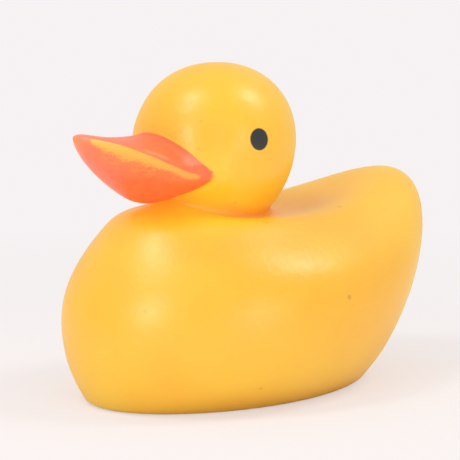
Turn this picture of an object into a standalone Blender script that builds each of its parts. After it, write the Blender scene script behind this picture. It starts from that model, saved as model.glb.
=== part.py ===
"""A small moulded vinyl bath duck with a painted bill and painted eyes.

The duck is one hollow moulding in real life and is one solid here.  It faces
-Y, its left side is +X, and it stands on Z = 0.  All sizes are in millimetres
and become metres through MM.

The surface is a coarse cage of four-sided faces, smoothed by Subdivision
Surface.  Only the duck's left half is built; Mirror makes the right half.
"""

from math import cos, pi, radians, sin, sqrt

import bmesh
import bpy
from mathutils import Vector

MM = 0.001

# Rings round the body, from the base up.  FRONT, WIDEST and REAR are places
# along Y: where the ring crosses the middle plane in front and behind, and
# where it is widest.  The HEIGHTS are above the floor.  TAPER narrows a ring
# towards the tail.
BASE_FRONT = -34.6
BASE_WIDEST = -2.9
BASE_REAR = 26.9
BASE_HALF_WIDTH = 19.7
BASE_TAPER = 0.07
BASE_EDGE = 0.9

FLANK_FRONT = -36.5
FLANK_WIDEST = -6.7
FLANK_REAR = 30.8
FLANK_HALF_WIDTH = 25.9
FLANK_HEIGHT = 5.8

BELLY_FRONT = -38.2
BELLY_WIDEST = -0.8
BELLY_REAR = 38.6
BELLY_HALF_WIDTH = 28.2
BELLY_HEIGHT_FRONT = 17.1
BELLY_HEIGHT_SIDE = 14.1
BELLY_HEIGHT_REAR = 21.5
BELLY_TAPER = 0.10

SHOULDER_FRONT = -34.0
SHOULDER_WIDEST = 0.3
SHOULDER_REAR = 44.0
SHOULDER_HALF_WIDTH = 26.9
SHOULDER_HEIGHT_FRONT = 24.3
SHOULDER_HEIGHT_SIDE = 23.8
SHOULDER_HEIGHT_REAR = 37.3
SHOULDER_TAPER = 0.20

BACK_FRONT = -30.1
BACK_WIDEST = -0.5
BACK_REAR = 35.1
BACK_HALF_WIDTH = 18.6
BACK_HEIGHT_FRONT = 30.6
BACK_HEIGHT_SIDE = 29.7
BACK_HEIGHT_REAR = 41.5
BACK_TAPER = 0.15

COLLAR_FRONT = -25.8
COLLAR_WIDEST = -7.1
COLLAR_REAR = 11.1
COLLAR_HALF_WIDTH = 14.8
COLLAR_HEIGHT_FRONT = 34.1
COLLAR_HEIGHT_SIDE = 33.1
COLLAR_HEIGHT_REAR = 31.0

# The neck's foot and the neck itself make the crease under the head.
FOOT_FRONT = -21.4
FOOT_WIDEST = -8.5
FOOT_REAR = 6.0
FOOT_HALF_WIDTH = 12.4
FOOT_HEIGHT_FRONT = 34.9
FOOT_HEIGHT_SIDE = 31.9
FOOT_HEIGHT_REAR = 32.6

NECK_FRONT = -19.8
NECK_WIDEST = -8.7
NECK_REAR = 1.5
NECK_HALF_WIDTH = 9.4
NECK_HEIGHT_FRONT = 35.3
NECK_HEIGHT_SIDE = 31.8
NECK_HEIGHT_REAR = 33.4

# The head is near to a ball, and these are its half sizes and its middle.
HEAD_HALF_WIDTH = 14.8
HEAD_HALF_DEPTH = 15.0
HEAD_HALF_HEIGHT = 15.2
HEAD_Y = -7.4
HEAD_HEIGHT = 44.2

# Each of the head's rings takes a share of the ball's size there.  LEAN moves
# the back of the head rearwards with height.  Under the bill the lowest ring
# is lifted and brought forward, to make the chin.  NAPE_LIFT is how much
# higher that ring is at the back of the head, in degrees.
NAPE_SHARE = 0.990
CHEEK_SHARE = 0.970
BROW_SHARE = 1.005
CROWN_SHARE = 1.030
LEAN = 0.07
NAPE_LIFT = 6.0
CHIN_RISE = 1.7
CHIN_FORWARD = 0.9

# The bill's outline on the face, and then its sections from the face to the
# tip.  RIM is the edge that runs from the mouth's corner to the tip, and it is
# given above the head's middle, or below it where the value is negative.
JOIN_HALF_WIDTH = 11.7
JOIN_RIM_RISE = -3.6
JOIN_ABOVE_RIM = 6.9
JOIN_BELOW_RIM = 4.2
JOIN_MARGIN = 0.7

BILL_ROOT_AHEAD = 16.0
BILL_TIP_AHEAD = 29.2
BILL_SWEEP = 3.4
CHIN_SWEEP = 0.9
BILL_TIP_ROUND = 0.5

BILL_HALF_WIDTH_ROOT = 10.0
BILL_HALF_WIDTH_MIDDLE = 10.1
BILL_HALF_WIDTH_TIP = 1.7
RIM_RISE_ROOT = -4.2
RIM_RISE_MIDDLE = 0.2
RIM_RISE_TIP = 2.6
ABOVE_RIM_ROOT = 7.2
ABOVE_RIM_MIDDLE = 2.3
ABOVE_RIM_TIP = 0.9
BELOW_RIM_ROOT = 6.2
BELOW_RIM_MIDDLE = 6.1
BELOW_RIM_TIP = 1.5

# The bill's upper side is hollowed a little towards the rim.
UPPER_HOLLOW = 1.35

# The cage has HALF_STEPS faces from the front round the left side to the
# rear, so HALF_STEPS is even and the caps fit four of them to a side.
HALF_STEPS = 8
SMOOTH_LEVELS = 2
SETTLE_ROUNDS = 12
MIDDLE = 0.02 * MM
HEAD_RING_LIFTS = (-42.0, -8.0, 30.0, 58.0)
BILL_STATIONS = (0.07, 0.25, 0.5, 0.78, 1.0)

VINYL, BILL_PAINT = 0, 1


def clear_scene():
    """Remove whatever objects the open scene holds."""
    for thing in list(bpy.data.objects):
        bpy.data.objects.remove(thing, do_unlink=True)


def paint(name, colour, roughness):
    """A plain Principled material."""
    made = bpy.data.materials.new(name)
    made.use_nodes = True
    made.diffuse_color = (*colour, 1.0)
    shader = made.node_tree.nodes["Principled BSDF"]
    shader.inputs["Base Color"].default_value = (*colour, 1.0)
    shader.inputs["Roughness"].default_value = roughness
    shader.inputs["Metallic"].default_value = 0.0
    return made


def half_turns():
    """Angles from straight ahead, round the left side, to the rear."""
    return [pi * step / HALF_STEPS for step in range(HALF_STEPS + 1)]


def body_ring(front, widest, rear, half_width, heights, taper=0.0):
    """Points of one ring round the body, on the duck's left side."""
    height_front, height_side, height_rear = heights
    points = []
    for turn in half_turns():
        ahead = max(cos(turn), 0.0)
        behind = max(-cos(turn), 0.0)
        side = sin(turn)
        x = half_width * side * (1.0 - taper * behind)
        y = widest + (front - widest) * ahead + (rear - widest) * behind
        z = height_front * ahead**2 + height_rear * behind**2 + height_side * side**2
        points.append((x, y, z))
    return points


def head_point(turn, lift, share=1.0):
    """A point on the head, at a share of the ball's size across."""
    x = HEAD_HALF_WIDTH * share * sin(turn) * cos(lift)
    y = HEAD_Y - HEAD_HALF_DEPTH * share * cos(turn) * cos(lift)
    rise = HEAD_HALF_HEIGHT * sin(lift)
    return (x, y + LEAN * rise * max(-cos(turn), 0.0), HEAD_HEIGHT + rise)


def head_front(x, z):
    """The Y of the head's front surface at one place seen from ahead."""
    rest = 1.0 - (x / HEAD_HALF_WIDTH) ** 2 - ((z - HEAD_HEIGHT) / HEAD_HALF_HEIGHT) ** 2
    return HEAD_Y - HEAD_HALF_DEPTH * sqrt(max(rest, 0.02))


def head_ring(lift_degrees, share):
    """Points of one level ring round the head."""
    lift = radians(lift_degrees)
    return [head_point(turn, lift, share) for turn in half_turns()]


def nape_ring(lift_degrees):
    """Points of the head's lowest ring, which leads into the neck and chin."""
    points = []
    for turn in half_turns():
        ahead = max(cos(turn), 0.0) ** 2
        behind = max(-cos(turn), 0.0) ** 2
        x, y, z = head_point(turn, radians(lift_degrees + NAPE_LIFT * behind), NAPE_SHARE)
        points.append((x, y - CHIN_FORWARD * ahead, z + CHIN_RISE * ahead))
    return points


def bill_section(half_width, rim, above, below):
    """One section of the bill as (x, z, turn), from its top down to its chin."""
    points = []
    for step in range(HALF_STEPS + 1):
        turn = pi / 2.0 - pi * step / HALF_STEPS
        rise = sin(turn)
        if rise >= 0.0:
            z = rim + above * rise**UPPER_HOLLOW
        else:
            z = rim + below * rise
        points.append((half_width * cos(turn), z, turn))
    return points


def between(along, root, middle, tip):
    """A smooth value that is root, middle and tip at 0, one half and 1."""
    at_root = root * (1.0 - along) * (1.0 - 2.0 * along)
    at_middle = middle * 4.0 * along * (1.0 - along)
    at_tip = tip * along * (2.0 * along - 1.0)
    return at_root + at_middle + at_tip


def bill_join(margin):
    """The bill's outline on the head, or a little outside it."""
    section = bill_section(
        JOIN_HALF_WIDTH + margin,
        HEAD_HEIGHT + JOIN_RIM_RISE,
        JOIN_ABOVE_RIM + margin,
        JOIN_BELOW_RIM + margin,
    )
    return [(x, head_front(x, z), z) for x, z, turn in section]


def bill_station(along):
    """One section of the bill between the face (0) and the tip (1)."""
    section = bill_section(
        between(along, BILL_HALF_WIDTH_ROOT, BILL_HALF_WIDTH_MIDDLE, BILL_HALF_WIDTH_TIP),
        HEAD_HEIGHT + between(along, RIM_RISE_ROOT, RIM_RISE_MIDDLE, RIM_RISE_TIP),
        between(along, ABOVE_RIM_ROOT, ABOVE_RIM_MIDDLE, ABOVE_RIM_TIP),
        between(along, BELOW_RIM_ROOT, BELOW_RIM_MIDDLE, BELOW_RIM_TIP),
    )
    middle_y = HEAD_Y - BILL_ROOT_AHEAD - (BILL_TIP_AHEAD - BILL_ROOT_AHEAD) * along
    points = []
    for x, z, turn in section:
        y = middle_y + BILL_SWEEP * (1.0 - along) ** 1.5 * cos(turn) ** 2
        if turn < 0.0:
            y += CHIN_SWEEP * (1.0 - along) * sin(turn) ** 2
        points.append((x, y, z))
    return points


def smoothed_place(corner):
    """Where the smoothed surface passes for one corner of the cage.

    A corner on the middle plane has a mirrored neighbour for each one that it
    has off the plane, so those count twice.
    """
    on_middle = corner.co.x < MIDDLE
    both = 2 if on_middle else 1
    count = 0
    near = Vector((0.0, 0.0, 0.0))
    far = Vector((0.0, 0.0, 0.0))
    for edge in corner.link_edges:
        other = edge.other_vert(corner)
        weight = 1 if other.co.x < MIDDLE else both
        near += other.co * weight
        count += weight
    for face in corner.link_faces:
        around = list(face.verts)
        opposite = around[(around.index(corner) + 2) % 4]
        far += opposite.co * both
    place = (corner.co * count**2 + near * 4.0 + far) / (count * (count + 5.0))
    if on_middle:
        place.x = 0.0
    return place


class Cage:
    """The duck's left half as a mesh of four-sided faces."""

    def __init__(self):
        self.mesh = bmesh.new()
        self.held = {}

    def hold(self, corners):
        """Note corners whose present place the smoothed surface must pass."""
        for corner in corners:
            self.held[corner] = corner.co.copy()

    def settle(self):
        """Move the held corners out until the surface passes those places."""
        for _ in range(SETTLE_ROUNDS):
            moves = {}
            for corner, place in self.held.items():
                if corner.link_faces:
                    moves[corner] = place - smoothed_place(corner)
            for corner, move in moves.items():
                corner.co += move

    def row(self, points):
        """Add a row of corners, given in millimetres."""
        return [self.mesh.verts.new([MM * value for value in point]) for point in points]

    def face(self, corners, material):
        """Add one face with a material."""
        self.mesh.faces.new(corners).material_index = material

    def band(self, first, second, material, skip=()):
        """Join two rows of corners with a band of faces."""
        for step in range(len(first) - 1):
            if step not in skip:
                corners = (first[step], first[step + 1], second[step + 1], second[step])
                self.face(corners, material)

    def cap(self, ring, place, material):
        """Close a ring with a grid of faces; place(u, v) gives its inner corners."""
        grid = {}
        inner = []
        for step in range(3):
            grid[(step, 0)] = ring[step]
            grid[(step, 4)] = ring[8 - step]
        for step in range(1, 4):
            grid[(2, step)] = ring[2 + step]
            for across in range(2):
                u = across / 2.0
                v = (step - 2) / 2.0
                grid[(across, step)] = self.row([place(u, v)])[0]
                inner.append(grid[(across, step)])
        for across in range(2):
            for step in range(4):
                corners = (
                    grid[(across, step)],
                    grid[(across + 1, step)],
                    grid[(across + 1, step + 1)],
                    grid[(across, step + 1)],
                )
                self.face(corners, material)
        return inner


def disc(u, v):
    """Turn a place in a square, each side -1 to 1, into one in a round disc."""
    return u * sqrt(1.0 - v * v / 2.0), v * sqrt(1.0 - u * u / 2.0)


def base_inner(u, v):
    """A place on the flat base."""
    across, along = disc(u, v)
    reach = BASE_REAR if along > 0.0 else -BASE_FRONT
    middle = BASE_WIDEST * (1.0 - abs(along))
    return (BASE_HALF_WIDTH * 0.86 * across, middle + reach * 0.86 * along, 0.0)


def crown(u, v):
    """A place on the top of the head, inside the highest ring."""
    across, along = disc(u, v)
    reach = cos(radians(HEAD_RING_LIFTS[-1]))
    x = across * reach
    y = along * reach
    rise = HEAD_HALF_HEIGHT * sqrt(max(1.0 - x * x - y * y, 0.0))
    lean = LEAN * rise * max(v, 0.0)
    return (
        HEAD_HALF_WIDTH * CROWN_SHARE * x,
        HEAD_Y + HEAD_HALF_DEPTH * CROWN_SHARE * y + lean,
        HEAD_HEIGHT + rise,
    )


def base_rings(cage):
    """The flat base and its rounded edge."""
    level = (0.0, 0.0, 0.0)
    inner = cage.row(
        body_ring(
            BASE_FRONT * 0.86,
            BASE_WIDEST,
            BASE_REAR * 0.86,
            BASE_HALF_WIDTH * 0.86,
            level,
            BASE_TAPER,
        )
    )
    inset = BASE_EDGE * 0.55
    edge = cage.row(
        body_ring(
            BASE_FRONT + inset,
            BASE_WIDEST,
            BASE_REAR - inset,
            BASE_HALF_WIDTH - inset,
            level,
            BASE_TAPER,
        )
    )
    lip = cage.row(
        body_ring(
            BASE_FRONT,
            BASE_WIDEST,
            BASE_REAR,
            BASE_HALF_WIDTH,
            (BASE_EDGE, BASE_EDGE, BASE_EDGE),
            BASE_TAPER,
        )
    )
    cage.cap(inner, base_inner, VINYL)
    return [inner, edge, lip]


def body_rings(cage):
    """The body from the flanks up to the neck."""
    flank = body_ring(
        FLANK_FRONT,
        FLANK_WIDEST,
        FLANK_REAR,
        FLANK_HALF_WIDTH,
        (FLANK_HEIGHT, FLANK_HEIGHT, FLANK_HEIGHT),
        BASE_TAPER,
    )
    belly = body_ring(
        BELLY_FRONT,
        BELLY_WIDEST,
        BELLY_REAR,
        BELLY_HALF_WIDTH,
        (BELLY_HEIGHT_FRONT, BELLY_HEIGHT_SIDE, BELLY_HEIGHT_REAR),
        BELLY_TAPER,
    )
    shoulder = body_ring(
        SHOULDER_FRONT,
        SHOULDER_WIDEST,
        SHOULDER_REAR,
        SHOULDER_HALF_WIDTH,
        (SHOULDER_HEIGHT_FRONT, SHOULDER_HEIGHT_SIDE, SHOULDER_HEIGHT_REAR),
        SHOULDER_TAPER,
    )
    back = body_ring(
        BACK_FRONT,
        BACK_WIDEST,
        BACK_REAR,
        BACK_HALF_WIDTH,
        (BACK_HEIGHT_FRONT, BACK_HEIGHT_SIDE, BACK_HEIGHT_REAR),
        BACK_TAPER,
    )
    collar = body_ring(
        COLLAR_FRONT,
        COLLAR_WIDEST,
        COLLAR_REAR,
        COLLAR_HALF_WIDTH,
        (COLLAR_HEIGHT_FRONT, COLLAR_HEIGHT_SIDE, COLLAR_HEIGHT_REAR),
    )
    foot = body_ring(
        FOOT_FRONT,
        FOOT_WIDEST,
        FOOT_REAR,
        FOOT_HALF_WIDTH,
        (FOOT_HEIGHT_FRONT, FOOT_HEIGHT_SIDE, FOOT_HEIGHT_REAR),
    )
    neck = body_ring(
        NECK_FRONT,
        NECK_WIDEST,
        NECK_REAR,
        NECK_HALF_WIDTH,
        (NECK_HEIGHT_FRONT, NECK_HEIGHT_SIDE, NECK_HEIGHT_REAR),
    )
    rings = (flank, belly, shoulder, back, collar, foot, neck)
    return [cage.row(points) for points in rings]


def head_rings(cage):
    """The head's level rings and the cap that closes its crown."""
    nape, cheek, brow, top = HEAD_RING_LIFTS
    rings = [
        cage.row(nape_ring(nape)),
        cage.row(head_ring(cheek, CHEEK_SHARE)),
        cage.row(head_ring(brow, BROW_SHARE)),
        cage.row(head_ring(top, CROWN_SHARE)),
    ]
    for ring in rings:
        cage.hold(ring)
    cage.hold(cage.cap(rings[-1], crown, VINYL))
    return rings


def bill(cage, head):
    """The bill, grown from an opening three faces wide in the head's front."""
    low, middle, high = head[0], head[1], head[2]
    opening = [high[0], high[1], high[2], high[3], middle[3]]
    opening += [low[3], low[2], low[1], low[0]]
    last = opening
    for margin in (JOIN_MARGIN, 0.0):
        loop = cage.row(bill_join(margin))
        cage.band(last, loop, VINYL)
        if margin:
            cage.hold(loop)
        last = loop
    for along in BILL_STATIONS:
        loop = cage.row(bill_station(along))
        cage.band(last, loop, BILL_PAINT)
        last = loop
    inner = []
    for step in range(3):
        upper = last[step].co
        lower = last[8 - step].co
        place = (upper + lower) / 2.0
        place.y -= BILL_TIP_ROUND * MM
        inner.append(cage.mesh.verts.new(place))
    row = inner + [last[4]]
    cage.band(last[0:4], row, BILL_PAINT)
    cage.band(row, [last[8], last[7], last[6], last[5]], BILL_PAINT)


def duck_mesh():
    """Build the left half of the cage and return it as mesh data."""
    cage = Cage()
    rings = base_rings(cage) + body_rings(cage)
    head = head_rings(cage)
    low, middle, high, top = head
    for first, second in zip(rings, rings[1:] + [low]):
        cage.band(first, second, VINYL)
    cage.band(low, middle, VINYL, skip=(0, 1, 2))
    cage.band(middle, high, VINYL, skip=(0, 1, 2))
    cage.band(high, top, VINYL)
    bill(cage, head)
    cage.settle()
    unused = [vert for vert in cage.mesh.verts if not vert.link_faces]
    bmesh.ops.delete(cage.mesh, geom=unused, context="VERTS")
    for vert in cage.mesh.verts:
        if abs(vert.co.x) < MIDDLE:
            vert.co.x = 0.0
    bmesh.ops.recalc_face_normals(cage.mesh, faces=cage.mesh.faces[:])
    for made in cage.mesh.faces:
        made.smooth = True
    data = bpy.data.meshes.new("duck")
    cage.mesh.to_mesh(data)
    cage.mesh.free()
    return data


def centre_length(duck):
    """Move the mesh so that the middle of its smoothed length is at Y = 0."""
    bpy.context.view_layer.update()
    finished = duck.evaluated_get(bpy.context.evaluated_depsgraph_get())
    places = [vert.co.y for vert in finished.to_mesh().vertices]
    finished.to_mesh_clear()
    middle = (min(places) + max(places)) / 2.0
    for vert in duck.data.vertices:
        vert.co.y -= middle
    duck.data.update()


def vinyl():
    """Warm yellow soft vinyl with a satin surface."""
    return paint("yellow_vinyl", (1.0, 0.57, 0.06), 0.38)


def bill_colour():
    """Orange-red paint on the bill."""
    return paint("bill_paint", (1.0, 0.17, 0.07), 0.42)


def build():
    """Make the duck and its collection."""
    clear_scene()
    group = bpy.data.collections.new("vinyl_duck_figurine")
    bpy.context.scene.collection.children.link(group)
    data = duck_mesh()
    for made in (vinyl(), bill_colour()):
        data.materials.append(made)
    duck = bpy.data.objects.new("duck", data)
    group.objects.link(duck)
    mirror = duck.modifiers.new("other_half", "MIRROR")
    mirror.use_axis = (True, False, False)
    mirror.use_clip = True
    mirror.merge_threshold = MIDDLE
    smooth = duck.modifiers.new("smooth", "SUBSURF")
    smooth.levels = SMOOTH_LEVELS
    smooth.render_levels = SMOOTH_LEVELS
    centre_length(duck)


build()
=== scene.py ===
"""The looks of a small moulded vinyl bath duck: yellow vinyl, a painted bill, painted eyes.

The duck faces -Y, its left side is +X, and it stands on Z = 0.  All sizes are in millimetres
and become metres through MM.  The surface is the same cage of four-sided faces as the solid's,
smoothed more finely, and it carries three values for the paint: how far along the bill a place
is, how high up round the bill's section, and how deep in the crease of the neck, where painted
shade deepens the colour.
"""

from math import cos, pi, radians, sin, sqrt

import bmesh
import bpy
import numpy as np
from mathutils import Matrix, Vector

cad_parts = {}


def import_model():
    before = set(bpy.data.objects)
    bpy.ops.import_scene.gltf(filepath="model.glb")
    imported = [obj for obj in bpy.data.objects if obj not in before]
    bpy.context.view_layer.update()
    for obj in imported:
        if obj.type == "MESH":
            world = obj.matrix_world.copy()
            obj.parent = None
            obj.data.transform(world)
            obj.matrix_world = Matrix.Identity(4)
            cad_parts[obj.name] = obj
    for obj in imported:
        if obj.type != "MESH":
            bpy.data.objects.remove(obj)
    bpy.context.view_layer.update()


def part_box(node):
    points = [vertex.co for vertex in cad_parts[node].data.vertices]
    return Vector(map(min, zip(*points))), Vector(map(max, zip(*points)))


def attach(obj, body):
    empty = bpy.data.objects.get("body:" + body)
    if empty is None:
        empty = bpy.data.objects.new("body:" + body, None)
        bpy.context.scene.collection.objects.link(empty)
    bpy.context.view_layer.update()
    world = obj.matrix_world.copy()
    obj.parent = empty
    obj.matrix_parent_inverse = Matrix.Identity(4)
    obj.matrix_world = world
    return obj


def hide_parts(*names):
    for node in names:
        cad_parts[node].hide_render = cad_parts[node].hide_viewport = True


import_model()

MM = 0.001

# Rings round the body, from the base up.  FRONT, WIDEST and REAR are places
# along Y: where the ring crosses the middle plane in front and behind, and
# where it is widest.  The HEIGHTS are above the floor.  TAPER narrows a ring
# towards the tail.
BASE_FRONT = -34.6
BASE_WIDEST = -2.9
BASE_REAR = 26.9
BASE_HALF_WIDTH = 19.7
BASE_TAPER = 0.07
BASE_EDGE = 0.9

# On the flat underside, one ring lies inside the edge by a share of it, and one at a share of
# the base's own size.
BASE_EDGE_SHARE = 0.55
BASE_INNER_SHARE = 0.86

FLANK_FRONT = -36.5
FLANK_WIDEST = -6.7
FLANK_REAR = 30.8
FLANK_HALF_WIDTH = 25.9
FLANK_HEIGHT = 5.8

BELLY_FRONT = -38.2
BELLY_WIDEST = -0.8
BELLY_REAR = 38.6
BELLY_HALF_WIDTH = 28.2
BELLY_HEIGHT_FRONT = 17.1
BELLY_HEIGHT_SIDE = 14.1
BELLY_HEIGHT_REAR = 21.5
BELLY_TAPER = 0.10

SHOULDER_FRONT = -34.0
SHOULDER_WIDEST = 0.3
SHOULDER_REAR = 44.0
SHOULDER_HALF_WIDTH = 26.9
SHOULDER_HEIGHT_FRONT = 24.3
SHOULDER_HEIGHT_SIDE = 23.8
SHOULDER_HEIGHT_REAR = 37.3
SHOULDER_TAPER = 0.20

BACK_FRONT = -30.1
BACK_WIDEST = -0.5
BACK_REAR = 35.1
BACK_HALF_WIDTH = 18.6
BACK_HEIGHT_FRONT = 30.6
BACK_HEIGHT_SIDE = 29.7
BACK_HEIGHT_REAR = 41.5
BACK_TAPER = 0.15

COLLAR_FRONT = -25.8
COLLAR_WIDEST = -7.1
COLLAR_REAR = 11.1
COLLAR_HALF_WIDTH = 14.8
COLLAR_HEIGHT_FRONT = 34.1
COLLAR_HEIGHT_SIDE = 33.1
COLLAR_HEIGHT_REAR = 31.0

# The neck's foot and the neck itself make the crease under the head.
FOOT_FRONT = -21.4
FOOT_WIDEST = -8.5
FOOT_REAR = 6.0
FOOT_HALF_WIDTH = 12.4
FOOT_HEIGHT_FRONT = 34.9
FOOT_HEIGHT_SIDE = 31.9
FOOT_HEIGHT_REAR = 32.6

NECK_FRONT = -19.8
NECK_WIDEST = -8.7
NECK_REAR = 1.5
NECK_HALF_WIDTH = 9.4
NECK_HEIGHT_FRONT = 35.3
NECK_HEIGHT_SIDE = 31.8
NECK_HEIGHT_REAR = 33.4

# The head is near to a ball, and these are its half sizes and its middle.
HEAD_HALF_WIDTH = 14.8
HEAD_HALF_DEPTH = 15.0
HEAD_HALF_HEIGHT = 15.2
HEAD_Y = -7.4
HEAD_HEIGHT = 44.2

# Each of the head's rings takes a share of the ball's size there.  LEAN moves
# the back of the head rearwards with height.  Under the bill the lowest ring
# is lifted and brought forward, to make the chin.  NAPE_LIFT is how much
# higher that ring is at the back of the head, in degrees.
NAPE_SHARE = 0.990
CHEEK_SHARE = 0.970
BROW_SHARE = 1.005
CROWN_SHARE = 1.030
LEAN = 0.07
NAPE_LIFT = 6.0
CHIN_RISE = 1.7
CHIN_FORWARD = 0.9

# The bill's outline on the face, and then its sections from the face to the
# tip.  RIM is the edge that runs from the mouth's corner to the tip, and it is
# given above the head's middle, or below it where the value is negative.
JOIN_HALF_WIDTH = 11.7
JOIN_RIM_RISE = -3.6
JOIN_ABOVE_RIM = 6.9
JOIN_BELOW_RIM = 4.2
JOIN_MARGIN = 0.7

BILL_ROOT_AHEAD = 16.0
BILL_TIP_AHEAD = 29.2
BILL_SWEEP = 3.4
CHIN_SWEEP = 0.9
BILL_TIP_ROUND = 0.5

BILL_HALF_WIDTH_ROOT = 10.0
BILL_HALF_WIDTH_MIDDLE = 10.1
BILL_HALF_WIDTH_TIP = 1.7
RIM_RISE_ROOT = -4.2
RIM_RISE_MIDDLE = 0.2
RIM_RISE_TIP = 2.6
ABOVE_RIM_ROOT = 7.2
ABOVE_RIM_MIDDLE = 2.3
ABOVE_RIM_TIP = 0.9
BELOW_RIM_ROOT = 6.2
BELOW_RIM_MIDDLE = 6.1
BELOW_RIM_TIP = 1.5

# The bill's upper side is hollowed a little towards the rim.
UPPER_HOLLOW = 1.35

# The cage has HALF_STEPS faces from the front round the left side to the
# rear, so HALF_STEPS is even and the caps fit four of them to a side.
HALF_STEPS = 8
SMOOTH_LEVELS = 4
SETTLE_ROUNDS = 12
MIDDLE = 0.02 * MM
HEAD_RING_LIFTS = (-42.0, -8.0, 30.0, 58.0)
BILL_STATIONS = (0.07, 0.25, 0.5, 0.78, 1.0)

# What the skin carries, as its place along the bill, where it isn't on the bill: away from it,
# round its opening in the head, just outside its outline, and at the end of its tip.
ALONG_AWAY = -1.0
ALONG_OPENING = -0.3
ALONG_MARGIN = -0.05
ALONG_END = 1.05


def half_turns():
    """Angles from straight ahead, round the left side, to the rear."""
    return [pi * step / HALF_STEPS for step in range(HALF_STEPS + 1)]


def body_ring(front, widest, rear, half_width, heights, taper=0.0):
    """Points of one ring round the body, on the duck's left side."""
    height_front, height_side, height_rear = heights
    points = []
    for turn in half_turns():
        ahead = max(cos(turn), 0.0)
        behind = max(-cos(turn), 0.0)
        side = sin(turn)
        x = half_width * side * (1.0 - taper * behind)
        y = widest + (front - widest) * ahead + (rear - widest) * behind
        z = height_front * ahead**2 + height_rear * behind**2 + height_side * side**2
        points.append((x, y, z))
    return points


def head_point(turn, lift, share=1.0):
    """A point on the head, at a share of the ball's size across."""
    x = HEAD_HALF_WIDTH * share * sin(turn) * cos(lift)
    y = HEAD_Y - HEAD_HALF_DEPTH * share * cos(turn) * cos(lift)
    rise = HEAD_HALF_HEIGHT * sin(lift)
    return (x, y + LEAN * rise * max(-cos(turn), 0.0), HEAD_HEIGHT + rise)


def head_front(x, z):
    """The Y of the head's front surface at one place seen from ahead."""
    rest = 1.0 - (x / HEAD_HALF_WIDTH) ** 2 - ((z - HEAD_HEIGHT) / HEAD_HALF_HEIGHT) ** 2
    return HEAD_Y - HEAD_HALF_DEPTH * sqrt(max(rest, 0.02))


def head_ring(lift_degrees, share):
    """Points of one level ring round the head."""
    lift = radians(lift_degrees)
    return [head_point(turn, lift, share) for turn in half_turns()]


def nape_ring(lift_degrees):
    """Points of the head's lowest ring, which leads into the neck and chin."""
    points = []
    for turn in half_turns():
        ahead = max(cos(turn), 0.0) ** 2
        behind = max(-cos(turn), 0.0) ** 2
        x, y, z = head_point(turn, radians(lift_degrees + NAPE_LIFT * behind), NAPE_SHARE)
        points.append((x, y - CHIN_FORWARD * ahead, z + CHIN_RISE * ahead))
    return points


def bill_section(half_width, rim, above, below):
    """One section of the bill as (x, z, turn), from its top down to its chin."""
    points = []
    for step in range(HALF_STEPS + 1):
        turn = pi / 2.0 - pi * step / HALF_STEPS
        rise = sin(turn)
        if rise >= 0.0:
            z = rim + above * rise**UPPER_HOLLOW
        else:
            z = rim + below * rise
        points.append((half_width * cos(turn), z, turn))
    return points


def between(along, root, middle, tip):
    """A smooth value that is root, middle and tip at 0, one half and 1."""
    at_root = root * (1.0 - along) * (1.0 - 2.0 * along)
    at_middle = middle * 4.0 * along * (1.0 - along)
    at_tip = tip * along * (2.0 * along - 1.0)
    return at_root + at_middle + at_tip


def bill_join(margin):
    """The bill's outline on the head, or a little outside it."""
    section = bill_section(
        JOIN_HALF_WIDTH + margin,
        HEAD_HEIGHT + JOIN_RIM_RISE,
        JOIN_ABOVE_RIM + margin,
        JOIN_BELOW_RIM + margin,
    )
    return [(x, head_front(x, z), z) for x, z, turn in section]


def bill_station(along):
    """One section of the bill between the face (0) and the tip (1)."""
    section = bill_section(
        between(along, BILL_HALF_WIDTH_ROOT, BILL_HALF_WIDTH_MIDDLE, BILL_HALF_WIDTH_TIP),
        HEAD_HEIGHT + between(along, RIM_RISE_ROOT, RIM_RISE_MIDDLE, RIM_RISE_TIP),
        between(along, ABOVE_RIM_ROOT, ABOVE_RIM_MIDDLE, ABOVE_RIM_TIP),
        between(along, BELOW_RIM_ROOT, BELOW_RIM_MIDDLE, BELOW_RIM_TIP),
    )
    middle_y = HEAD_Y - BILL_ROOT_AHEAD - (BILL_TIP_AHEAD - BILL_ROOT_AHEAD) * along
    points = []
    for x, z, turn in section:
        y = middle_y + BILL_SWEEP * (1.0 - along) ** 1.5 * cos(turn) ** 2
        if turn < 0.0:
            y += CHIN_SWEEP * (1.0 - along) * sin(turn) ** 2
        points.append((x, y, z))
    return points


def smoothed_place(corner):
    """Where the smoothed surface passes for one corner of the cage.

    A corner on the middle plane has a mirrored neighbour for each one that it
    has off the plane, so those count twice.
    """
    on_middle = corner.co.x < MIDDLE
    both = 2 if on_middle else 1
    count = 0
    near = Vector((0.0, 0.0, 0.0))
    far = Vector((0.0, 0.0, 0.0))
    for edge in corner.link_edges:
        other = edge.other_vert(corner)
        weight = 1 if other.co.x < MIDDLE else both
        near += other.co * weight
        count += weight
    for face in corner.link_faces:
        around = list(face.verts)
        opposite = around[(around.index(corner) + 2) % 4]
        far += opposite.co * both
    place = (corner.co * count**2 + near * 4.0 + far) / (count * (count + 5.0))
    if on_middle:
        place.x = 0.0
    return place


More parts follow.
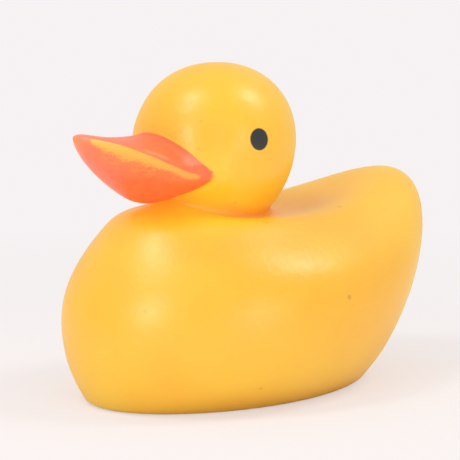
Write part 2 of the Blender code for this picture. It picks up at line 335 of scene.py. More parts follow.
class Cage:
    """The duck's left half as a mesh of four-sided faces."""

    def __init__(self):
        self.mesh = bmesh.new()
        self.along = self.mesh.verts.layers.float.new("bill_along")
        self.turn = self.mesh.verts.layers.float.new("bill_turn")
        self.held = {}

    def mark(self, corners, along, turns):
        """Give corners their place along the bill and round its section."""
        for corner, turn in zip(corners, turns):
            corner[self.along] = along
            corner[self.turn] = turn

    def hold(self, corners):
        """Note corners whose present place the smoothed surface must pass."""
        for corner in corners:
            self.held[corner] = corner.co.copy()

    def settle(self):
        """Move the held corners out until the surface passes those places."""
        for _ in range(SETTLE_ROUNDS):
            moves = {}
            for corner, place in self.held.items():
                if corner.link_faces:
                    moves[corner] = place - smoothed_place(corner)
            for corner, move in moves.items():
                corner.co += move

    def row(self, points):
        """Add a row of corners, given in millimetres."""
        return [self.mesh.verts.new([MM * value for value in point]) for point in points]

    def band(self, first, second, skip=()):
        """Join two rows of corners with a band of faces."""
        for step in range(len(first) - 1):
            if step not in skip:
                corners = (first[step], first[step + 1], second[step + 1], second[step])
                self.mesh.faces.new(corners)

    def cap(self, ring, place):
        """Close a ring with a grid of faces; place(u, v) gives its inner corners."""
        grid = {}
        inner = []
        for step in range(3):
            grid[(step, 0)] = ring[step]
            grid[(step, 4)] = ring[8 - step]
        for step in range(1, 4):
            grid[(2, step)] = ring[2 + step]
            for across in range(2):
                u = across / 2.0
                v = (step - 2) / 2.0
                grid[(across, step)] = self.row([place(u, v)])[0]
                inner.append(grid[(across, step)])
        for across in range(2):
            for step in range(4):
                corners = (
                    grid[(across, step)],
                    grid[(across + 1, step)],
                    grid[(across + 1, step + 1)],
                    grid[(across, step + 1)],
                )
                self.mesh.faces.new(corners)
        return inner


def disc(u, v):
    """Turn a place in a square, each side -1 to 1, into one in a round disc."""
    return u * sqrt(1.0 - v * v / 2.0), v * sqrt(1.0 - u * u / 2.0)


def base_inner(u, v):
    """A place on the flat base."""
    across, along = disc(u, v)
    reach = BASE_REAR if along > 0.0 else -BASE_FRONT
    middle = BASE_WIDEST * (1.0 - abs(along))
    x = BASE_HALF_WIDTH * BASE_INNER_SHARE * across
    return (x, middle + reach * BASE_INNER_SHARE * along, 0.0)


def crown(u, v):
    """A place on the top of the head, inside the highest ring."""
    across, along = disc(u, v)
    reach = cos(radians(HEAD_RING_LIFTS[-1]))
    x = across * reach
    y = along * reach
    rise = HEAD_HALF_HEIGHT * sqrt(max(1.0 - x * x - y * y, 0.0))
    lean = LEAN * rise * max(v, 0.0)
    return (
        HEAD_HALF_WIDTH * CROWN_SHARE * x,
        HEAD_Y + HEAD_HALF_DEPTH * CROWN_SHARE * y + lean,
        HEAD_HEIGHT + rise,
    )


def base_rings(cage):
    """The flat base and its rounded edge."""
    level = (0.0, 0.0, 0.0)
    inner = cage.row(
        body_ring(
            BASE_FRONT * BASE_INNER_SHARE,
            BASE_WIDEST,
            BASE_REAR * BASE_INNER_SHARE,
            BASE_HALF_WIDTH * BASE_INNER_SHARE,
            level,
            BASE_TAPER,
        )
    )
    inset = BASE_EDGE * BASE_EDGE_SHARE
    edge = cage.row(
        body_ring(
            BASE_FRONT + inset,
            BASE_WIDEST,
            BASE_REAR - inset,
            BASE_HALF_WIDTH - inset,
            level,
            BASE_TAPER,
        )
    )
    lip = cage.row(
        body_ring(
            BASE_FRONT,
            BASE_WIDEST,
            BASE_REAR,
            BASE_HALF_WIDTH,
            (BASE_EDGE, BASE_EDGE, BASE_EDGE),
            BASE_TAPER,
        )
    )
    cage.cap(inner, base_inner)
    return [inner, edge, lip]


def body_rings(cage):
    """The body from the flanks up to the neck."""
    flank = body_ring(
        FLANK_FRONT,
        FLANK_WIDEST,
        FLANK_REAR,
        FLANK_HALF_WIDTH,
        (FLANK_HEIGHT, FLANK_HEIGHT, FLANK_HEIGHT),
        BASE_TAPER,
    )
    belly = body_ring(
        BELLY_FRONT,
        BELLY_WIDEST,
        BELLY_REAR,
        BELLY_HALF_WIDTH,
        (BELLY_HEIGHT_FRONT, BELLY_HEIGHT_SIDE, BELLY_HEIGHT_REAR),
        BELLY_TAPER,
    )
    shoulder = body_ring(
        SHOULDER_FRONT,
        SHOULDER_WIDEST,
        SHOULDER_REAR,
        SHOULDER_HALF_WIDTH,
        (SHOULDER_HEIGHT_FRONT, SHOULDER_HEIGHT_SIDE, SHOULDER_HEIGHT_REAR),
        SHOULDER_TAPER,
    )
    back = body_ring(
        BACK_FRONT,
        BACK_WIDEST,
        BACK_REAR,
        BACK_HALF_WIDTH,
        (BACK_HEIGHT_FRONT, BACK_HEIGHT_SIDE, BACK_HEIGHT_REAR),
        BACK_TAPER,
    )
    collar = body_ring(
        COLLAR_FRONT,
        COLLAR_WIDEST,
        COLLAR_REAR,
        COLLAR_HALF_WIDTH,
        (COLLAR_HEIGHT_FRONT, COLLAR_HEIGHT_SIDE, COLLAR_HEIGHT_REAR),
    )
    foot = body_ring(
        FOOT_FRONT,
        FOOT_WIDEST,
        FOOT_REAR,
        FOOT_HALF_WIDTH,
        (FOOT_HEIGHT_FRONT, FOOT_HEIGHT_SIDE, FOOT_HEIGHT_REAR),
    )
    neck = body_ring(
        NECK_FRONT,
        NECK_WIDEST,
        NECK_REAR,
        NECK_HALF_WIDTH,
        (NECK_HEIGHT_FRONT, NECK_HEIGHT_SIDE, NECK_HEIGHT_REAR),
    )
    rings = (flank, belly, shoulder, back, collar, foot, neck)
    return [cage.row(points) for points in rings]


def head_rings(cage):
    """The head's level rings and the cap that closes its crown."""
    nape, cheek, brow, top = HEAD_RING_LIFTS
    rings = [
        cage.row(nape_ring(nape)),
        cage.row(head_ring(cheek, CHEEK_SHARE)),
        cage.row(head_ring(brow, BROW_SHARE)),
        cage.row(head_ring(top, CROWN_SHARE)),
    ]
    for ring in rings:
        cage.hold(ring)
    cage.hold(cage.cap(rings[-1], crown))
    return rings


def bill(cage, head):
    """The bill, grown from an opening three faces wide in the head's front."""
    low, middle, high = head[0], head[1], head[2]
    opening = [high[0], high[1], high[2], high[3], middle[3]]
    opening += [low[3], low[2], low[1], low[0]]
    turns = [1.0 - step / 4.0 for step in range(HALF_STEPS + 1)]
    cage.mark(opening, ALONG_OPENING, turns)
    last = opening
    for margin in (JOIN_MARGIN, 0.0):
        loop = cage.row(bill_join(margin))
        cage.mark(loop, ALONG_MARGIN if margin else 0.0, turns)
        cage.band(last, loop)
        if margin:
            cage.hold(loop)
        last = loop
    for along in BILL_STATIONS:
        loop = cage.row(bill_station(along))
        cage.mark(loop, along, turns)
        cage.band(last, loop)
        last = loop
    inner = []
    for step in range(3):
        upper = last[step].co
        lower = last[8 - step].co
        place = (upper + lower) / 2.0
        place.y -= BILL_TIP_ROUND * MM
        inner.append(cage.mesh.verts.new(place))
    cage.mark(inner, ALONG_END, (0.0, 0.0, 0.0))
    row = inner + [last[4]]
    cage.band(last[0:4], row)
    cage.band(row, [last[8], last[7], last[6], last[5]])


def duck_mesh():
    """Build the left half of the cage and return it as mesh data."""
    cage = Cage()
    rings = base_rings(cage) + body_rings(cage)
    head = head_rings(cage)
    low, middle, high, top = head
    cage.mark(cage.mesh.verts, ALONG_AWAY, [0.0] * len(cage.mesh.verts))
    for first, second in zip(rings, rings[1:] + [low]):
        cage.band(first, second)
    cage.band(low, middle, skip=(0, 1, 2))
    cage.band(middle, high, skip=(0, 1, 2))
    cage.band(high, top)
    bill(cage, head)
    cage.settle()
    unused = [vert for vert in cage.mesh.verts if not vert.link_faces]
    bmesh.ops.delete(cage.mesh, geom=unused, context="VERTS")
    for vert in cage.mesh.verts:
        if abs(vert.co.x) < MIDDLE:
            vert.co.x = 0.0
    bmesh.ops.recalc_face_normals(cage.mesh, faces=cage.mesh.faces[:])
    for made in cage.mesh.faces:
        made.smooth = True
    data = bpy.data.meshes.new("duck")
    cage.mesh.to_mesh(data)
    cage.mesh.free()
    return data


# Colours are linear.
VINYL = (0.99, 0.487, 0.012)
VINYL_PALE = (1.0, 0.543, 0.023)
# Painted shade: the deeper colour laid into the neck's crease.
VINYL_CREASE_SHADE = (0.80, 0.30, 0.006)
BILL_RED = (1.0, 0.175, 0.05)
BILL_DEEP = (1.0, 0.145, 0.035)
# A pinker red towards the tip, and painted sheen on the bill's upper side.
BILL_PINK_AND_SHEEN = (1.0, 0.18, 0.11)
BARE_RIM = (1.0, 0.385, 0.05)
EYE_GREY = (0.010, 0.012, 0.012)
SPECK_BROWN = (0.30, 0.12, 0.02)
BLACK = (0.0, 0.0, 0.0)

# Noises: features per millimetre, detail and roughness.
CLOUD_NOISE = (0.05, 2.0, 0.5)
FINE_NOISE = (1.6, 3.0, 0.5)
RIPPLE_NOISE = (0.9, 2.0, 0.5)
GRAIN_NOISE = (2.6, 4.0, 0.65)
PATCH_NOISE = (0.7, 2.0, 0.5)
DRAWN_NOISE = (1.0, 3.0, 0.6)
DRAWN_SCALES = (0.35, 0.35, 1.6)
EYE_NOISE = (2.5, 2.0, 0.5)

# The vinyl's satin: how rough it is, and how much the bill, the crease, the eyes and a fine
# noise add to that.
ROUGH = 0.37
ROUGH_BILL = 0.05
ROUGH_CREASE = 0.4
ROUGH_EYE = -0.15
ROUGH_FINE = 0.06
RIPPLE_STRENGTH = 0.06
RIPPLE_DEPTH = 1.0
# Painted shade: how strongly the crease's mark deepens the colour.
CREASE_PAINTED_SHADE = 0.8

# From here to the camera, a pair of numbers is a span: a share climbs from 0 at the first number
# to 1 at the second.
CLOUDS = (0.3, 0.7)

# Where the bill's paint begins, in parts of the bill's length from the mouth's corner, and how
# uneven that edge is.
BILL_EDGE = (-0.01, 0.01)
BILL_UNEVEN = 0.02

# The reds of the bill.  It turns pinker towards the tip, and on its upper side a painted sheen
# turns it pinker still.
DEEP_PATCHES = (0.35, 0.7)
PINK_ALONG = (0.45, 1.0)
PINK_ALONG_SHARE = 0.6
PAINTED_SHEEN_ABOVE = (0.1, 0.7)
PAINTED_SHEEN_ABOVE_SHARE = 0.3

# The bill's worn rim: at each of RIM_STATIONS along the bill, where its middle lies round the
# section, and its half width there.
RIM_STATIONS = (0.0, 0.07, 0.2, 0.35, 0.6, 0.87, 1.0)
RIM_MIDDLE = (-0.09, -0.055, -0.04, -0.065, -0.06, 0.0, 0.05)
RIM_HALF_WIDTH = (0.02, 0.045, 0.04, 0.045, 0.08, 0.13, 0.10)

# Its upper edge is crisp and its lower edge speckled, both in half widths from its middle.  Its
# start and end are in parts of the bill's length.
RIM_UPPER_EDGE = (1.15, 0.85)
RIM_UPPER_GRAIN = 0.5
RIM_LOWER_EDGE = (-3.0, -0.7)
RIM_LOWER_GRAIN = 2.0
RIM_START = (0.03, 0.06)
RIM_END = (1.0, 0.95)
RIM_END_UNEVEN = 0.08

# Below the rim the paint is thin and spotted.
THIN_BELOW = (-8.0, -1.0)
THIN_START = (0.05, 0.2)
THIN_END = (0.98, 0.7)
THIN_WEAR = 0.2
SPOTS = (0.47, 0.62)
SPOT_GRAIN = 0.6
SPOT_WEAR = 0.6

# A streak of wear on the upper side, and a worn tip.
STREAK_BOTTOM = (0.10, 0.13)
STREAK_TOP = (0.20, 0.16)
STREAK_START = (0.25, 0.35)
STREAK_END = (0.62, 0.5)
STREAK_UNEVEN = 0.05
STREAK_GRAIN = (0.4, 0.6)
STREAK_WEAR = 0.5
TIP_START = (1.03, 1.05)
TIP_BOTTOM = (0.1, 0.3)
TIP_WEAR = 0.25

# Specks on the vinyl: a place, a radius, and how strongly each is stained.  Their edge is in
# radii from the middle.
SPECKS = (
    ((12.4, 10.0, 33.1), 0.50, 0.30),
    ((26.3, -0.7, 19.2), 0.50, 0.41),
    ((6.8, -19.7, 52.5), 0.35, 0.30),
    ((9.4, -19.7, 49.4), 0.30, 0.25),
    ((9.7, -20.5, 44.8), 0.30, 0.22),
    ((6.9, -22.2, 47.6), 0.30, 0.22),
    ((10.7, -13.2, 35.0), 0.40, 0.33),
    ((15.3, -10.0, 32.0), 0.40, 0.28),
    ((22.1, -17.1, 4.9), 0.40, 0.22),
    ((12.2, -33.8, 18.6), 0.35, 0.19),
)
SPECK_EDGE = (1.3, 0.4)

# A painted glow in the shade between the head and the body, for light the thin hollow skin would
# pass on: its colour, how a place is stretched, the middle of the shade once stretched, its reach.
PAINTED_GLOW = (0.16, 0.115, 0.010)
PAINTED_GLOW_SCALES = (0.6, 0.75, 1.2)
PAINTED_GLOW_PLACE = (0.0, -14.2, 45.0)
PAINTED_GLOW_REACH = (15.0, 5.0)

# The skin away from the bill is brought onto one even round head: from this far above its
# middle, this far from the bill, and in this many tries.  ROUND_LEAST keeps its width at the
# crown above zero.
ROUND_ABOVE = (-6.0, 0.0)
ROUND_OFF_BILL = (-0.1, -0.4)
ROUND_TRIES = 6
ROUND_LEAST = 0.05

# The crease round the neck is softened, in rounds, out to REACH millimetres from the neck ring.
# It is softened most ahead, and only by the share BEHIND at the nape; the turns are cosines,
# where 1 is straight ahead.  Painted shade darkens the crease out to LINE millimetres.
CREASE_ROUNDS = 640
CREASE_STEP = 0.5
CREASE_REACH = 9.0
CREASE_TURNS = (-0.75, 0.45)
CREASE_BEHIND = 0.15
CREASE_OFF_BILL = (-0.05, -0.25)
CREASE_LINE = 2.2
CREASE_LINE_TURNS = (0.75, 0.25)

# The solid stands with its length centred, and so this far along Y from the cage.  Places from
# here on are the solid's.
CENTRING = -1.82
HEAD_MIDDLE = (0.0, HEAD_Y + CENTRING, HEAD_HEIGHT)

# The left eye's middle, half sizes, tilt in degrees and edge.  The right eye mirrors it.
EYE_PLACE = (14.36, -10.84, 46.24)
EYE_HALF_WIDTH = 1.83
EYE_HALF_HEIGHT = 1.90
EYE_TILT = 5.0
EYE_EDGE = (1.06, 0.94)
EYE_UNEVEN = 0.05
EYE_DEPTH = (-2.0, -1.0)

# The camera, from the photograph: azimuth and elevation in degrees round AIM.  The frame's
# scale is at AIM, and both shifts are in pixels of the frame.
VIEW_AZIMUTH = 50.32
VIEW_ELEVATION = 6.47
VIEW_DISTANCE = 260.65
AIM = (0.0, CENTRING, 30.0)
FRAME_PIXELS = 460.0
PIXELS_PER_MM = 5.406
SHIFT_RIGHT = -16.66
SHIFT_UP = -7.91
SENSOR_WIDTH = 36.0
NEAREST = 10.0
FARTHEST = 20000.0

# The stage.  The floor turns to the backdrop over the span FLOOR_FADE, from its middle.  A lamp
# has a direction to the right, up and towards the camera, a width and height, and a brightness.
BACKDROP = (0.924, 0.890, 0.896)
FLOOR_PALE = (0.90, 0.87, 0.86)
FLOOR_GLOW = 0.55
FLOOR_FADE = (60.0, 260.0)
FLOOR_RADIUS = 4000.0
FLOOR_SIDES = 64
WORLD_COLOUR = (1.0, 0.98, 0.97)
WORLD_LEVEL = 0.72
LAMP_DISTANCE = 500.0
LAMPS = {
    "key_left": ((-0.42, 0.815, 0.40), (130.0, 200.0), 7.6),
    "key_right": ((0.60, 0.79, 0.08), (130.0, 180.0), 8.0),
    "fill_right": ((0.57, 0.05, 0.82), (110.0, 140.0), 5.0),
    "fill_left": ((-0.52, 0.20, 0.83), (110.0, 260.0), 6.6),
}


class Wire:
    """A number, colour or vector on its way through the nodes."""

    def __init__(self, paint, socket):
        self.paint = paint
        self.socket = socket

    def _maths(self, operation, *values):
        return self.paint.node("ShaderNodeMath", {"operation": operation}, values)

    def __add__(self, other):
        return self._maths("ADD", self, other)

    __radd__ = __add__

    def __sub__(self, other):
        return self._maths("SUBTRACT", self, other)

    def __rsub__(self, other):
        return self._maths("SUBTRACT", other, self)

    def __mul__(self, other):
        return self._maths("MULTIPLY", self, other)

    __rmul__ = __mul__

    def __truediv__(self, other):
        return self._maths("DIVIDE", self, other)

    def __rtruediv__(self, other):
        return self._maths("DIVIDE", other, self)

    def __pow__(self, other):
        return self._maths("POWER", self, other)

    def __rpow__(self, other):
        return self._maths("POWER", other, self)

    def low(self, other):
        """The lower of two values."""
        return self._maths("MINIMUM", self, other)

    def size(self):
        """The value without its sign."""
        return self._maths("ABSOLUTE", self)

    def step(self, start, end):
        """A smooth climb from 0 at start to 1 at end."""
        settings = {"interpolation_type": "SMOOTHSTEP"}
        flip = start > end
        values = (self, min(start, end), max(start, end), 1.0 * flip, 1.0 - flip)
        return self.paint.node("ShaderNodeMapRange", settings, values)


class Paint:
    """The nodes of one material or world, built from Python expressions."""

    def __init__(self, owner):
        owner.use_nodes = True
        self.owner = owner
        self.tree = owner.node_tree
        self.tree.nodes.clear()

    def node(self, kind, settings=None, values=(), out=0):
        """Add a node; values go to its sockets by order, or by name from a dict."""
        made = self.tree.nodes.new(kind)
        for key, value in (settings or {}).items():
            if key == "stops":
                self.bend(made.mapping, value)
            else:
                setattr(made, key, value)
        pairs = values.items() if isinstance(values, dict) else enumerate(values)
        for key, value in pairs:
            if isinstance(value, Wire):
                self.tree.links.new(value.socket, made.inputs[key])
            else:
                made.inputs[key].default_value = value
        return Wire(self, made.outputs[out] if made.outputs else None)

    def bend(self, mapping, stops):
        """Shape a curve so that it runs through its stops."""
        line = mapping.curves[0]
        mapping.clip_min_y = -1.0
        line.points[0].location = stops[0]
        line.points[1].location = stops[-1]
        for stop in stops[1:-1]:
            line.points.new(*stop)
        mapping.update()

    def finish(self, surface, kind="ShaderNodeOutputMaterial"):
        """Make the surface what is seen, and return the material or world."""
        self.node(kind, {}, {"Surface": surface})
        return self.owner

    def place(self):
        """Where a point is on the object, in millimetres."""
        here = self.node("ShaderNodeTexCoord", out="Object")
        values = {0: here, "Scale": 1.0 / MM}
        return self.node("ShaderNodeVectorMath", {"operation": "SCALE"}, values)

    def attribute(self, name):
        """A number that the mesh carries."""
        return self.node("ShaderNodeAttribute", {"attribute_name": name}, out="Fac")

    def noise(self, place, kind):
        """Smooth noise, about 0 to 1."""
        scale, detail, rough = kind
        values = {"Vector": place, "Scale": scale, "Detail": detail, "Roughness": rough}
        return self.node("ShaderNodeTexNoise", {}, values)

    def curve(self, value, stations, heights):
        """A smooth curve through heights at stations, which run from 0 to 1."""
        settings = {"stops": list(zip(stations, heights))}
        return self.node("ShaderNodeFloatCurve", settings, {"Value": value})

    def blend(self, share, first, second):
        """The colour first, turning to second as share goes to 1."""
        settings = {"data_type": "RGBA"}
        colours = [c if isinstance(c, Wire) else (*c, 1.0) for c in (first, second)]
        values = {0: share, 6: colours[0], 7: colours[1]}
        return self.node("ShaderNodeMix", settings, values, out=2)

    def stretch(self, place, scales):
        """A place scaled differently along each axis."""
        return self.node("ShaderNodeVectorMath", {"operation": "MULTIPLY"}, (place, scales))

    def away(self, place, centre):
        """How far a place is from a fixed point."""
        settings = {"operation": "DISTANCE"}
        return self.node("ShaderNodeVectorMath", settings, (place, centre), out="Value")

    def along(self, place, centre, direction):
        """How far a place lies from a fixed point in one direction."""
        offset = self.node("ShaderNodeVectorMath", {"operation": "SUBTRACT"}, (place, centre))
        settings = {"operation": "DOT_PRODUCT"}
        return self.node("ShaderNodeVectorMath", settings, (offset, direction), out="Value")


def new_material(name, colour):
    """The nodes of a new material, which has this colour in a plain view."""
    made = bpy.data.materials.new(name)
    made.diffuse_color = (*colour, 1.0)
    return Paint(made)


def left_side(paint, place):
    """A place with its X made positive, so that both sides get the same paint."""
    x, y, z = (paint.node("ShaderNodeSeparateXYZ", {}, (place,), out=axis) for axis in "XYZ")
    return paint.node("ShaderNodeCombineXYZ", {}, (x.size(), y, z))


def eye_share(paint, place):
    """1 on the eyes and 0 off them."""
    side = left_side(paint, place)
    out = (Vector(EYE_PLACE) - Vector(HEAD_MIDDLE)).normalized()
    across = Vector((0.0, 0.0, 1.0)).cross(out).normalized()
    up = out.cross(across)
    tilt = radians(EYE_TILT)
    across, up = across * cos(tilt) + up * sin(tilt), up * cos(tilt) - across * sin(tilt)
    u = paint.along(side, EYE_PLACE, across / EYE_HALF_WIDTH)
    v = paint.along(side, EYE_PLACE, up / EYE_HALF_HEIGHT)
    reach = (u * u + v * v) ** 0.5 + (paint.noise(place, EYE_NOISE) - 0.5) * EYE_UNEVEN
    return reach.step(*EYE_EDGE) * paint.along(side, EYE_PLACE, out).step(*EYE_DEPTH)


def rim_wear(along, offset, grain, patch):
    """Where the section lies below the rim's upper edge, and where the rim's paint is gone."""
    above = (offset + grain * RIM_UPPER_GRAIN).step(*RIM_UPPER_EDGE)
    below = (offset + grain * RIM_LOWER_GRAIN).step(*RIM_LOWER_EDGE)
    ends = along + (patch - 0.5) * RIM_END_UNEVEN
    return above, above * below * ends.step(*RIM_START) * ends.step(*RIM_END)


def bill_colour(paint, place, along, turn):
    """The bill's thin red paint, worn through along the rim and mottled below it."""
    grain = paint.noise(place, GRAIN_NOISE)
    patch = paint.noise(place, PATCH_NOISE)
    drawn = paint.noise(paint.stretch(place, DRAWN_SCALES), DRAWN_NOISE)
    even_grain = grain - 0.5

    red = paint.blend(patch.step(*DEEP_PATCHES), BILL_RED, BILL_DEEP)
    # Pinker towards the tip, and painted sheen on the upper side.
    pink_and_sheen = along.step(*PINK_ALONG) * PINK_ALONG_SHARE + turn.step(*PAINTED_SHEEN_ABOVE) * PAINTED_SHEEN_ABOVE_SHARE
    red = paint.blend(pink_and_sheen, red, BILL_PINK_AND_SHEEN)

    offset = turn - paint.curve(along, RIM_STATIONS, RIM_MIDDLE)
    offset = offset / paint.curve(along, RIM_STATIONS, RIM_HALF_WIDTH)
    above, worn = rim_wear(along, offset, even_grain, patch)
    thin = offset.step(*THIN_BELOW) * above * along.step(*THIN_START) * along.step(*THIN_END)
    spots = (drawn + even_grain * SPOT_GRAIN).step(*SPOTS) * thin

    bottom = turn + (drawn - 0.5) * STREAK_UNEVEN
    streak = bottom.step(*STREAK_BOTTOM) * turn.step(*STREAK_TOP)
    streak = streak * along.step(*STREAK_START) * along.step(*STREAK_END)
    streak = streak * grain.step(*STREAK_GRAIN)
    tip = along.step(*TIP_START) * turn.step(*TIP_BOTTOM)

    bare = worn + spots * SPOT_WEAR + thin * THIN_WEAR + streak * STREAK_WEAR + tip * TIP_WEAR
    return paint.blend(bare.low(1.0), red, BARE_RIM)


def speckled(paint, place, colour, uneven):
    """The colour with its few specks."""
    for centre, radius, share in SPECKS:
        near = paint.away(place, centre) + uneven * radius
        start, end = (radius * edge for edge in SPECK_EDGE)
        colour = paint.blend(near.step(start, end) * share, colour, SPECK_BROWN)
    return colour


def painted_vinyl():
    """Satin yellow vinyl, painted bill and eyes, painted shade in the crease and a painted glow.
    """
    paint = new_material("painted_vinyl", VINYL)
    place = paint.place()
    along = paint.attribute("bill_along")
    turn = paint.attribute("bill_turn")
    crease = paint.attribute("crease")
    uneven = paint.noise(place, FINE_NOISE) - 0.5

    clouds = paint.noise(place, CLOUD_NOISE).step(*CLOUDS)
    vinyl = paint.blend(clouds, VINYL, VINYL_PALE)
    # Painted shade deepens the colour along the neck's crease.
    vinyl = paint.blend(crease * CREASE_PAINTED_SHADE, vinyl, VINYL_CREASE_SHADE)
    on_bill = (along + uneven * BILL_UNEVEN).step(*BILL_EDGE)
    colour = paint.blend(on_bill, vinyl, bill_colour(paint, place, along, turn))
    eye = eye_share(paint, place)
    colour = paint.blend(eye, colour, EYE_GREY)
    colour = speckled(paint, place, colour, uneven)

    # Painted glow: emission laid into the shade under the head, off the bill.
    painted_glow_share = paint.away(paint.stretch(place, PAINTED_GLOW_SCALES), PAINTED_GLOW_PLACE).step(*PAINTED_GLOW_REACH)
    painted_glow = paint.blend(painted_glow_share * (1.0 - on_bill), BLACK, PAINTED_GLOW)
    rough = ROUGH + on_bill * ROUGH_BILL + crease * ROUGH_CREASE + eye * ROUGH_EYE
    ripple = {
        "Strength": RIPPLE_STRENGTH,
        "Distance": MM * RIPPLE_DEPTH,
        "Height": paint.noise(place, RIPPLE_NOISE),
    }
    surface = {
        "Base Color": colour,
        "Roughness": rough + uneven * ROUGH_FINE,
        "Normal": paint.node("ShaderNodeBump", {}, ripple),
        "Emission Color": painted_glow,
        "Emission Strength": 1.0,
        "IOR": 1.5,
        "Specular IOR Level": 0.8,
        "Subsurface Weight": 0.8,
        "Subsurface Radius": (1.0, 0.95, 0.4),
        "Subsurface Scale": 0.014,
    }
    return paint.finish(paint.node("ShaderNodeBsdfPrincipled", {}, surface))


def head_share(rise):
    """The head's share of the ball's size across, at a height given as the sine of its lift."""
    lifts = [sin(radians(lift)) for lift in HEAD_RING_LIFTS[1:]]
    shares = (CHEEK_SHARE, BROW_SHARE, CROWN_SHARE)
    rise = max(rise, lifts[0])
    total = 0.0
    for here in range(3):
        part = shares[here]
        for other in range(3):
            if other != here:
                part *= (rise - lifts[other]) / (lifts[here] - lifts[other])
        total += part
    return total


def smooth_step(value, start, end):
    """A smooth climb from 0 at start to 1 at end."""
    share = min(max((value - start) / (end - start), 0.0), 1.0)
    return share * share * (3.0 - 2.0 * share)


def round_place(offset):
    """The nearest place on the even round head, both from the head's middle."""
    place = offset.copy()
    for _ in range(ROUND_TRIES):
        rise = min(place.z / HEAD_HALF_HEIGHT, 1.0)
        share = head_share(rise)
        across = max(sqrt(max(1.0 - rise * rise, 0.0)), ROUND_LEAST) * share
        behind = smooth_step(place.y / (HEAD_HALF_DEPTH * across), 0.0, 1.0)
        y = place.y - LEAN * place.z * behind
        reach = sqrt(
            (place.x / (HEAD_HALF_WIDTH * share)) ** 2
            + (y / (HEAD_HALF_DEPTH * share)) ** 2
            + (place.z / HEAD_HALF_HEIGHT) ** 2
        )
        place /= reach
    return place


def round_head(data):
    """Bring the head's skin, away from the bill and the neck, onto one even round form."""
    along = data.attributes["bill_along"].data
    middle = Vector((0.0, HEAD_Y, HEAD_HEIGHT))
    for vert in data.vertices:
        offset = vert.co / MM - middle
        weight = smooth_step(offset.z, *ROUND_ABOVE)
        weight *= smooth_step(along[vert.index].value, *ROUND_OFF_BILL)
        if weight > 0.0 and abs(offset.y) <= 2.0 * HEAD_HALF_DEPTH:
            vert.co = MM * (middle + offset.lerp(round_place(offset), weight))


def climb(values, start, end):
    """An even climb from 0 at start to 1 at end."""
    return np.clip((values - start) / (end - start), 0.0, 1.0)


def neck_distance(x, y, z):
    """How far each place is from the neck ring, and the cosine of its turn round the neck."""
    turn = np.arctan2(np.abs(x), NECK_WIDEST - y)
    ahead = np.maximum(np.cos(turn), 0.0)
    behind = np.maximum(-np.cos(turn), 0.0)
    side = np.sin(turn)
    ring_x = NECK_HALF_WIDTH * side
    ring_y = NECK_WIDEST + (NECK_FRONT - NECK_WIDEST) * ahead + (NECK_REAR - NECK_WIDEST) * behind
    ring_z = NECK_HEIGHT_FRONT * ahead**2 + NECK_HEIGHT_REAR * behind**2
    ring_z += NECK_HEIGHT_SIDE * side**2
    apart = (np.abs(x) - ring_x) ** 2 + (y - ring_y) ** 2 + (z - ring_z) ** 2
    return np.sqrt(apart), np.cos(turn)


def soften_crease(data):
    """Mark the crease between the head and the body for painted shade, and round it out."""
    count = len(data.vertices)
    places = np.empty(count * 3)
    data.vertices.foreach_get("co", places)
    places = places.reshape(count, 3)
    along = np.empty(count)
    data.attributes["bill_along"].data.foreach_get("value", along)
    pairs = np.empty(len(data.edges) * 2, int)
    data.edges.foreach_get("vertices", pairs)
    first, second = pairs.reshape(-1, 2).T
    links = np.bincount(first, minlength=count) + np.bincount(second, minlength=count)

    apart, turn = neck_distance(*(places / MM).T)
    # This mark carries painted shade into the colour along the crease, and more roughness.
    line = climb(apart, CREASE_LINE, 0.0) * climb(turn, *CREASE_LINE_TURNS)
    mark = data.attributes.new("crease", "FLOAT", "POINT")
    mark.data.foreach_set("value", line.astype(np.float32))

    near = climb(apart, CREASE_REACH, 0.0)
    weight = near * near * (3.0 - 2.0 * near) * climb(along, *CREASE_OFF_BILL)
    weight *= CREASE_BEHIND + (1.0 - CREASE_BEHIND) * climb(turn, *CREASE_TURNS)
    for _ in range(CREASE_ROUNDS):
        for axis in range(3):
            row = places[:, axis]
            total = np.bincount(first, row[second], count) + np.bincount(second, row[first], count)
            places[:, axis] += weight * CREASE_STEP * (total / links - row)
    data.vertices.foreach_set("co", places.ravel())
    data.update()


def duck_skin():
    """The duck's smoothed skin as mesh data, in the cage's place."""
    cage = bpy.data.objects.new("duck_cage", duck_mesh())
    bpy.context.scene.collection.objects.link(cage)
    mirror = cage.modifiers.new("other_half", "MIRROR")
    mirror.use_axis = (True, False, False)
    mirror.use_clip = True
    mirror.merge_threshold = MIDDLE
    smooth = cage.modifiers.new("smooth", "SUBSURF")
    smooth.levels = smooth.render_levels = SMOOTH_LEVELS
    bpy.context.view_layer.update()
    graph = bpy.context.evaluated_depsgraph_get()
    data = bpy.data.meshes.new_from_object(
        cage.evaluated_get(graph), preserve_all_data_layers=True, depsgraph=graph
    )
    bpy.data.objects.remove(cage, do_unlink=True)
    data.name = "duck_skin"
    round_head(data)
    soften_crease(data)
    return data


def duck_piece():
    """The duck's skin, lined up with the solid."""
    data = duck_skin()
    skin = bpy.data.objects.new("duck_skin", data)
    bpy.context.scene.collection.objects.link(skin)
    low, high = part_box("duck")
    places = [vert.co.y for vert in data.vertices]
    centring = (low[1] + high[1] - min(places) - max(places)) / 2.0
    data.transform(Matrix.Translation((0.0, centring, 0.0)))
    data.materials.clear()
    data.materials.append(painted_vinyl())
    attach(skin, "root")
    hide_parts("duck")


def view_axes():
    """The camera's right, up and back directions."""
    turn, rise = radians(VIEW_AZIMUTH), radians(VIEW_ELEVATION)
    back = Vector((sin(turn) * cos(rise), -cos(turn) * cos(rise), sin(rise)))
    right = Vector((cos(turn), sin(turn), 0.0))
    return right, back.cross(right), back


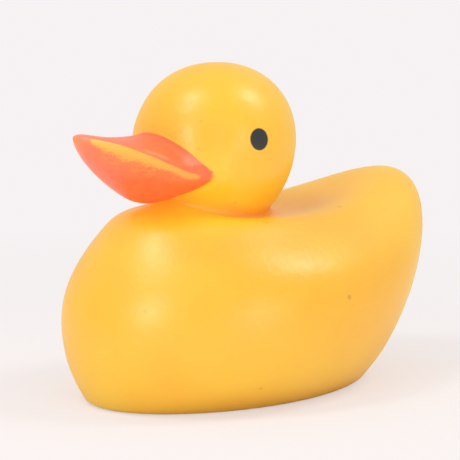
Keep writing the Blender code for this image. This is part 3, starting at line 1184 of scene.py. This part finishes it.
def camera():
    """The camera at the photograph's viewing angle."""
    data = bpy.data.cameras.new("camera")
    right, up, back = view_axes()
    data.sensor_width = SENSOR_WIDTH
    data.lens = SENSOR_WIDTH * PIXELS_PER_MM * VIEW_DISTANCE / FRAME_PIXELS
    data.shift_x = SHIFT_RIGHT / FRAME_PIXELS
    data.shift_y = SHIFT_UP / FRAME_PIXELS
    data.clip_start = MM * NEAREST
    data.clip_end = MM * FARTHEST
    made = bpy.data.objects.new("camera", data)
    turned = Matrix((right, up, back)).transposed().to_4x4()
    made.matrix_world = Matrix.Translation(MM * (Vector(AIM) + back * VIEW_DISTANCE)) @ turned
    bpy.context.scene.collection.objects.link(made)
    bpy.context.scene.camera = made


def lamp(name, direction, size, level):
    """A soft lamp at a direction in the view's axes; level is its brightness, where white is 1."""
    right, up, back = view_axes()
    out = (right * direction[0] + up * direction[1] + back * direction[2]).normalized()
    data = bpy.data.lights.new(name, "AREA")
    data.shape = "ELLIPSE"
    data.size, data.size_y = (MM * value for value in size)
    data.energy = level * pi**2 * data.size * data.size_y / 4.0
    made = bpy.data.objects.new(name, data)
    made.location = MM * (Vector(AIM) + out * LAMP_DISTANCE)
    made.rotation_euler = out.to_track_quat("Z", "Y").to_euler()
    bpy.context.scene.collection.objects.link(made)


def seen_directly(paint):
    """1 where the camera itself sees, and 0 for light on its way to the duck."""
    return paint.node("ShaderNodeLightPath", out="Is Camera Ray")


def floor_paint():
    """A pale floor that keeps the shadow and turns to the plain backdrop farther out."""
    paint = new_material("pale_floor", BACKDROP)
    far = paint.away(paint.place(), (0.0, 0.0, 0.0)).step(*FLOOR_FADE)
    cast = paint.node("ShaderNodeBsdfDiffuse", {}, {"Color": (*FLOOR_PALE, 1.0)})
    plain = paint.node("ShaderNodeEmission", {}, {"Color": (*BACKDROP, 1.0), "Strength": 1.0})
    share = seen_directly(paint) * (FLOOR_GLOW + far * (1.0 - FLOOR_GLOW))
    return paint.finish(paint.node("ShaderNodeMixShader", {}, (share, cast, plain)))


def world():
    """Even light from all round, and the plain backdrop where the camera sees past the floor."""
    paint = Paint(bpy.data.worlds.new("studio"))
    values = {"Color": (*WORLD_COLOUR, 1.0), "Strength": WORLD_LEVEL}
    light = paint.node("ShaderNodeBackground", {}, values)
    plain = paint.node("ShaderNodeBackground", {}, {"Color": (*BACKDROP, 1.0), "Strength": 1.0})
    both = paint.node("ShaderNodeMixShader", {}, (seen_directly(paint), light, plain))
    bpy.context.scene.world = paint.finish(both, "ShaderNodeOutputWorld")


def floor():
    """The round pale floor."""
    mesh = bpy.data.meshes.new("floor")
    work = bmesh.new()
    radius = MM * FLOOR_RADIUS
    bmesh.ops.create_circle(work, cap_ends=True, segments=FLOOR_SIDES, radius=radius)
    work.to_mesh(mesh)
    work.free()
    made = bpy.data.objects.new("floor", mesh)
    bpy.context.scene.collection.objects.link(made)
    mesh.materials.append(floor_paint())


duck_piece()
floor()
for name, (direction, size, level) in LAMPS.items():
    lamp(name, direction, size, level)
world()
camera()
bpy.context.scene.view_settings.view_transform = "Standard"
